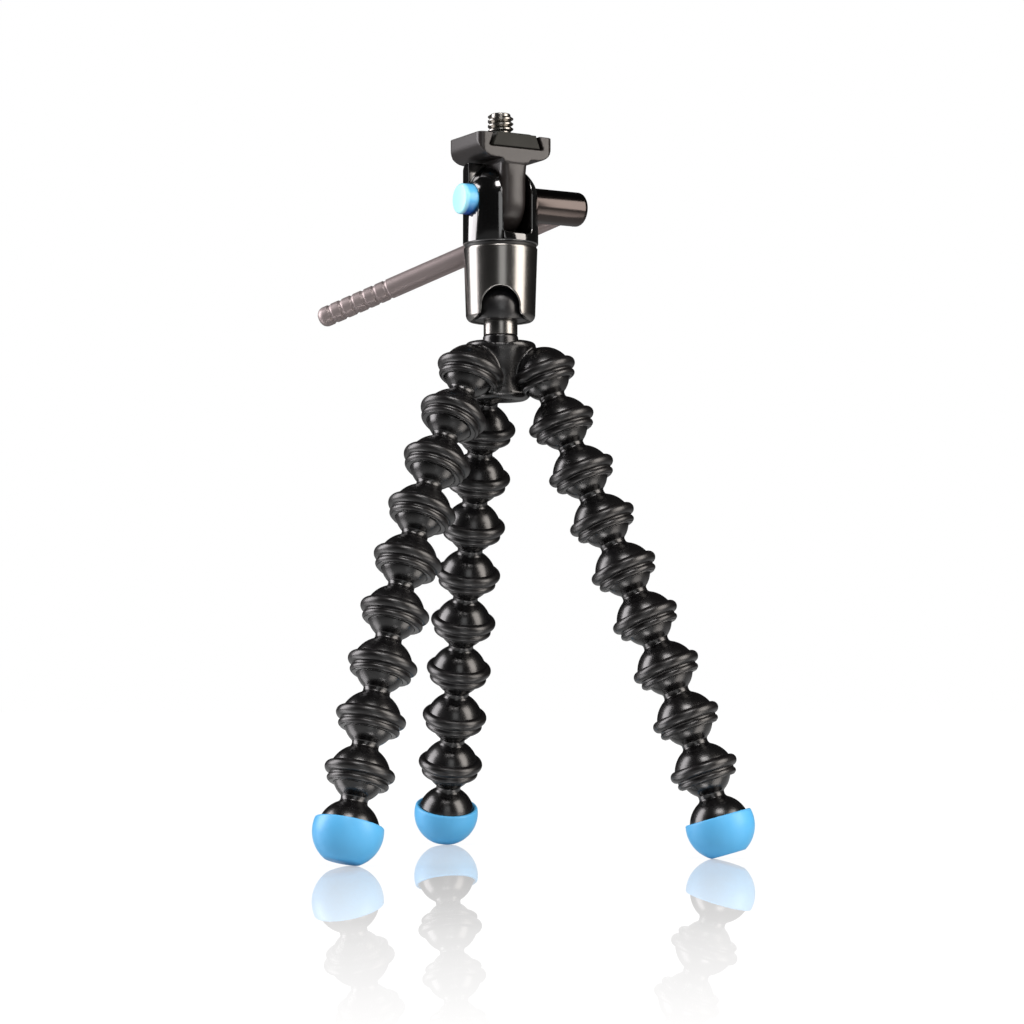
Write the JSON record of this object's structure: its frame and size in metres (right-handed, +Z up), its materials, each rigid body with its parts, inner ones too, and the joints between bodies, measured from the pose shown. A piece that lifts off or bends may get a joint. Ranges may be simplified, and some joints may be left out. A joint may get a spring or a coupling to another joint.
{
  "type": "flexible leg tripod",
  "caption": "Small camera tripod with bendable legs of snap-together ball links, magnetic rubber feet and a ball, pan and tilt head with a camera screw and a folding handle.",
  "frame": {"origin": "on the floor, under the axis of the head", "axes": "+Z up along the head's axis to the camera, +X to the right of the front view, +Y to the rear"},
  "size_m": [0.1085, 0.11, 0.1834],
  "materials": {
    "link_plastic": "moulded black plastic with a soft gloss",
    "grip_rubber": "matt black rubber",
    "foot_rubber": "satin sky-blue rubber",
    "magnet_plating": "nickel-plated",
    "ball_plastic": "smooth black",
    "stem_steel": "turned bright steel",
    "screw_steel": "zinc-plated",
    "sleeve_steel": "polished",
    "inner_plastic": "self-lubricating black",
    "spring_steel": "hardened",
    "yoke_paint": "gloss black",
    "platform_paint": "satin dark brown-grey",
    "barrel_chrome": "dark chrome",
    "rod_metal": "satin anodised",
    "button_plastic": "bright blue",
    "clip_plastic": "dark green-grey",
    "pad_rubber": "ribbed dark grey",
    "camera_screw_steel": "plated, with a right-hand thread"
  },
  "bodies": {
    "hub": {"leg_hub": "link_plastic", "hub_grip_rings": "grip_rubber", "ball_stem": "stem_steel", "head_ball": "ball_plastic", "hub_screw": "screw_steel"},
    "socket": {"socket_sleeve": "sleeve_steel", "ball_liner": "inner_plastic", "liner_spring": "spring_steel", "socket_plug": "screw_steel", "pan_washer": "inner_plastic"},
    "pan": {"pan_yoke": "yoke_paint", "pan_screw": "screw_steel", "pan_spring_washer": "spring_steel", "button_spring": "spring_steel"},
    "platform": {"tilt_platform": "platform_paint", "tilt_axle": "screw_steel", "tilt_washers": "inner_plastic", "handle_barrel": "barrel_chrome", "handle_pin": "screw_steel"},
    "handle": {"handle_rod": "rod_metal"},
    "button": {"release_button": "button_plastic"},
    "clip": {"clip_plate": "clip_plastic", "clip_pad": "pad_rubber"},
    "screw": {"camera_screw": "camera_screw_steel", "screw_retainer": "spring_steel"},
    "right_link_1": {"right_link_1": "link_plastic"},
    "right_link_2": {"right_link_2": "link_plastic"},
    "right_link_3": {"right_link_3": "link_plastic"},
    "right_link_4": {"right_link_4": "link_plastic"},
    "right_link_5": {"right_link_5": "link_plastic"},
    "right_link_6": {"right_link_6": "link_plastic"},
    "right_link_7": {"right_link_7": "link_plastic"},
    "right_link_8": {"right_link_8": "link_plastic"},
    "right_foot": {"right_foot_body": "link_plastic", "right_foot_magnet": "magnet_plating", "right_foot_cap": "foot_rubber"},
    "left_link_1": {"left_link_1": "link_plastic"},
    "left_link_2": {"left_link_2": "link_plastic"},
    "left_link_3": {"left_link_3": "link_plastic"},
    "left_link_4": {"left_link_4": "link_plastic"},
    "left_link_5": {"left_link_5": "link_plastic"},
    "left_link_6": {"left_link_6": "link_plastic"},
    "left_link_7": {"left_link_7": "link_plastic"},
    "left_link_8": {"left_link_8": "link_plastic"},
    "left_foot": {"left_foot_body": "link_plastic", "left_foot_magnet": "magnet_plating", "left_foot_cap": "foot_rubber"},
    "rear_link_1": {"rear_link_1": "link_plastic"},
    "rear_link_2": {"rear_link_2": "link_plastic"},
    "rear_link_3": {"rear_link_3": "link_plastic"},
    "rear_link_4": {"rear_link_4": "link_plastic"},
    "rear_link_5": {"rear_link_5": "link_plastic"},
    "rear_link_6": {"rear_link_6": "link_plastic"},
    "rear_link_7": {"rear_link_7": "link_plastic"},
    "rear_link_8": {"rear_link_8": "link_plastic"},
    "rear_foot": {"rear_foot_body": "link_plastic", "rear_foot_magnet": "magnet_plating", "rear_foot_cap": "foot_rubber"}
  },
  "joints": [
    {"name": "ball_tilt", "type": "hinge", "parent": "hub", "child": "socket", "pos_m": [0, 0, 0.13459], "axis": [1, 0, 0], "range_deg": [-20, 90]},
    {"name": "pan_turn", "type": "hinge", "parent": "socket", "child": "pan", "pos_m": [0, 0, 0.15044], "axis": [0, 0, 1], "continuous": true},
    {"name": "platform_tilt", "type": "hinge", "parent": "pan", "child": "platform", "pos_m": [0, 0, 0.16129], "axis": [0.866, 0.5, 0], "range_deg": [-18, 75]},
    {"name": "handle_fold", "type": "hinge", "parent": "platform", "child": "handle", "pos_m": [0.01784, 0.0103, 0.16129], "axis": [-0.2309, 0.3999, 0.887], "range_deg": [-78, 0]},
    {"name": "button_press", "type": "slide", "parent": "pan", "child": "button", "axis": [0.866, 0.5, 0], "range_m": [0, 0.002], "stiffness_N_per_m": 900, "springref_m": -0.002, "deforming": ["button_spring"]},
    {"name": "clip_slide", "type": "slide", "parent": "platform", "child": "clip", "axis": [0.5, -0.866, 0], "range_m": [0, 0.016]},
    {"name": "camera_screw_turn", "type": "hinge", "parent": "clip", "child": "screw", "pos_m": [0, 0, 0.17769], "axis": [0, 0, 1], "continuous": true},
    {"name": "right_bend_1", "type": "hinge", "parent": "hub", "child": "right_link_1", "pos_m": [0.01084, -0.0024, 0.11768], "axis": [0.2215, 0.9751, 0], "range_deg": [-26, 16]},
    {"name": "right_sway_2", "type": "hinge", "parent": "right_link_1", "child": "right_link_2", "pos_m": [0.01529, -0.00341, 0.10541], "axis": [0.9023, -0.205, 0.3792], "range_deg": [-25, 25]},
    {"name": "right_bend_3", "type": "hinge", "parent": "right_link_2", "child": "right_link_3", "pos_m": [0.02013, -0.00451, 0.09328], "axis": [-0.2215, -0.9751, 0], "range_deg": [-26, 23]},
    {"name": "right_sway_4", "type": "hinge", "parent": "right_link_3", "child": "right_link_4", "pos_m": [0.02522, -0.00567, 0.08127], "axis": [-0.891, 0.2024, -0.4064], "range_deg": [-25, 25]},
    {"name": "right_bend_5", "type": "hinge", "parent": "right_link_4", "child": "right_link_5", "pos_m": [0.03041, -0.00685, 0.0693], "axis": [0.2215, 0.9751, 0], "range_deg": [-25, 24]},
    {"name": "right_sway_6", "type": "hinge", "parent": "right_link_5", "child": "right_link_6", "pos_m": [0.03557, -0.00802, 0.05731], "axis": [0.8981, -0.204, 0.3896], "range_deg": [-25, 25]},
    {"name": "right_bend_7", "type": "hinge", "parent": "right_link_6", "child": "right_link_7", "pos_m": [0.04055, -0.00915, 0.04525], "axis": [-0.2215, -0.9751, 0], "range_deg": [-23, 26]},
    {"name": "right_sway_8", "type": "hinge", "parent": "right_link_7", "child": "right_link_8", "pos_m": [0.0452, -0.01021, 0.03305], "axis": [-0.9213, 0.2093, -0.3277], "range_deg": [-25, 25]},
    {"name": "right_bend_9", "type": "hinge", "parent": "right_link_8", "child": "right_foot", "pos_m": [0.04939, -0.01116, 0.02067], "axis": [0.2215, 0.9751, 0], "range_deg": [-27, 22]},
    {"name": "left_bend_1", "type": "hinge", "parent": "hub", "child": "left_link_1", "pos_m": [-0.0075, -0.00818, 0.11768], "axis": [0.7615, -0.6481, 0], "range_deg": [-17, 25]},
    {"name": "left_sway_2", "type": "hinge", "parent": "left_link_1", "child": "left_link_2", "pos_m": [-0.01169, -0.01311, 0.1063], "axis": [-0.5791, -0.6804, 0.4491], "range_deg": [-25, 25]},
    {"name": "left_bend_3", "type": "hinge", "parent": "left_link_2", "child": "left_link_3", "pos_m": [-0.01551, -0.01759, 0.09459], "axis": [-0.7615, 0.6481, 0], "range_deg": [-22, 27]},
    {"name": "left_sway_4", "type": "hinge", "parent": "left_link_3", "child": "left_link_4", "pos_m": [-0.01898, -0.02167, 0.08264], "axis": [0.6014, 0.7066, -0.3728], "range_deg": [-25, 25]},
    {"name": "left_bend_5", "type": "hinge", "parent": "left_link_4", "child": "left_link_5", "pos_m": [-0.02214, -0.02539, 0.07048], "axis": [0.7615, -0.6481, 0], "range_deg": [-26, 23]},
    {"name": "left_sway_6", "type": "hinge", "parent": "left_link_5", "child": "left_link_6", "pos_m": [-0.02505, -0.0288, 0.05817], "axis": [-0.6147, -0.7222, 0.3171], "range_deg": [-25, 25]},
    {"name": "left_bend_7", "type": "hinge", "parent": "left_link_6", "child": "left_link_7", "pos_m": [-0.02774, -0.03197, 0.04575], "axis": [-0.7615, 0.6481, 0], "range_deg": [-23, 26]},
    {"name": "left_sway_8", "type": "hinge", "parent": "left_link_7", "child": "left_link_8", "pos_m": [-0.03027, -0.03494, 0.03324], "axis": [0.6215, 0.7302, -0.2838], "range_deg": [-25, 25]},
    {"name": "left_bend_9", "type": "hinge", "parent": "left_link_8", "child": "left_foot", "pos_m": [-0.03268, -0.03777, 0.02068], "axis": [0.7615, -0.6481, 0], "range_deg": [-25, 24]},
    {"name": "rear_bend_1", "type": "hinge", "parent": "hub", "child": "rear_link_1", "pos_m": [-0.00334, 0.01059, 0.11768], "axis": [-0.9668, -0.2554, 0], "range_deg": [-23, 19]},
    {"name": "rear_sway_2", "type": "hinge", "parent": "rear_link_1", "child": "rear_link_2", "pos_m": [-0.00469, 0.0157, 0.1057], "axis": [-0.2346, 0.8878, 0.3959], "range_deg": [-25, 25]},
    {"name": "rear_bend_3", "type": "hinge", "parent": "rear_link_2", "child": "rear_link_3", "pos_m": [-0.00601, 0.02071, 0.09367], "axis": [0.9668, 0.2554, 0], "range_deg": [-24, 25]},
    {"name": "rear_sway_4", "type": "hinge", "parent": "rear_link_3", "child": "rear_link_4", "pos_m": [-0.00731, 0.02563, 0.0816], "axis": [0.2363, -0.8944, -0.3799], "range_deg": [-25, 25]},
    {"name": "rear_bend_5", "type": "hinge", "parent": "rear_link_4", "child": "rear_link_5", "pos_m": [-0.00858, 0.03044, 0.06948], "axis": [-0.9668, -0.2554, 0], "range_deg": [-25, 24]},
    {"name": "rear_sway_6", "type": "hinge", "parent": "rear_link_5", "child": "rear_link_6", "pos_m": [-0.00983, 0.03514, 0.05731], "axis": [-0.2381, 0.9011, 0.3624], "range_deg": [-25, 25]},
    {"name": "rear_bend_7", "type": "hinge", "parent": "rear_link_6", "child": "rear_link_7", "pos_m": [-0.01104, 0.03973, 0.04511], "axis": [0.9668, 0.2554, 0], "range_deg": [-24, 25]},
    {"name": "rear_sway_8", "type": "hinge", "parent": "rear_link_7", "child": "rear_link_8", "pos_m": [-0.01222, 0.0442, 0.03285], "axis": [0.2399, -0.9079, -0.3437], "range_deg": [-25, 25]},
    {"name": "rear_bend_9", "type": "hinge", "parent": "rear_link_8", "child": "rear_foot", "pos_m": [-0.01337, 0.04856, 0.02055], "axis": [-0.9668, -0.2554, 0], "range_deg": [-25, 24]}
  ]
}
